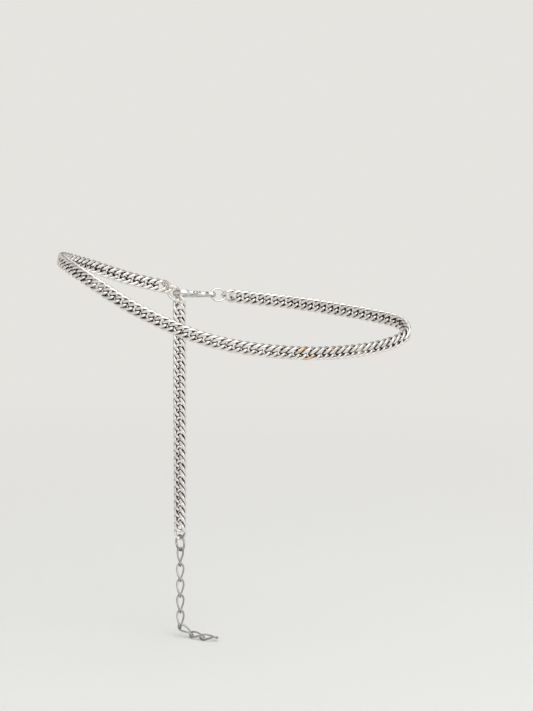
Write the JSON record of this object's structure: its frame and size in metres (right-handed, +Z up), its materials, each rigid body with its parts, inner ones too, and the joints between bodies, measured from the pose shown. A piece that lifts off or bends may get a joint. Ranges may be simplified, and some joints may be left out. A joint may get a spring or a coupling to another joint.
{
  "type": "payal anklet",
  "caption": "Silver-white double curb chain anklet, worn round the ankle as one loop, with a lobster claw at the back, a hanging spare end of chain, a round ring and a thin extender chain.",
  "frame": {"origin": "middle of the space the ankle fills, at the height of the loop's middle", "axes": "+X towards the toes, +Y across to the clasp's side of the ankle, +Z up the leg"},
  "size_m": [0.0871, 0.0496, 0.1013],
  "materials": {
    "curb_chain": "bright silver-white plate, links slightly flattened on their faces",
    "clasp_metal": "polished silver-white plate",
    "extender_metal": "polished silver-white plate on thin wire"
  },
  "bodies": {
    "root": {"chain_01": "curb_chain", "chain_02": "curb_chain", "chain_03": "curb_chain", "chain_04": "curb_chain", "chain_05": "curb_chain", "chain_06": "curb_chain", "chain_07": "curb_chain", "chain_08": "curb_chain", "chain_09": "curb_chain", "chain_10": "curb_chain", "chain_11": "curb_chain", "hooked_link": "curb_chain", "spare_chain_1": "curb_chain", "spare_chain_2": "curb_chain", "spare_chain_3": "curb_chain", "clasp": "clasp_metal", "clasp_ring": "clasp_metal", "tail_ring": "extender_metal", "extender_link_1": "extender_metal", "extender_link_2": "extender_metal", "extender_link_3": "extender_metal", "extender_link_4": "extender_metal", "extender_link_5": "extender_metal", "extender_link_6": "extender_metal", "extender_link_7": "extender_metal", "extender_link_8": "extender_metal"}
  },
  "joints": []
}
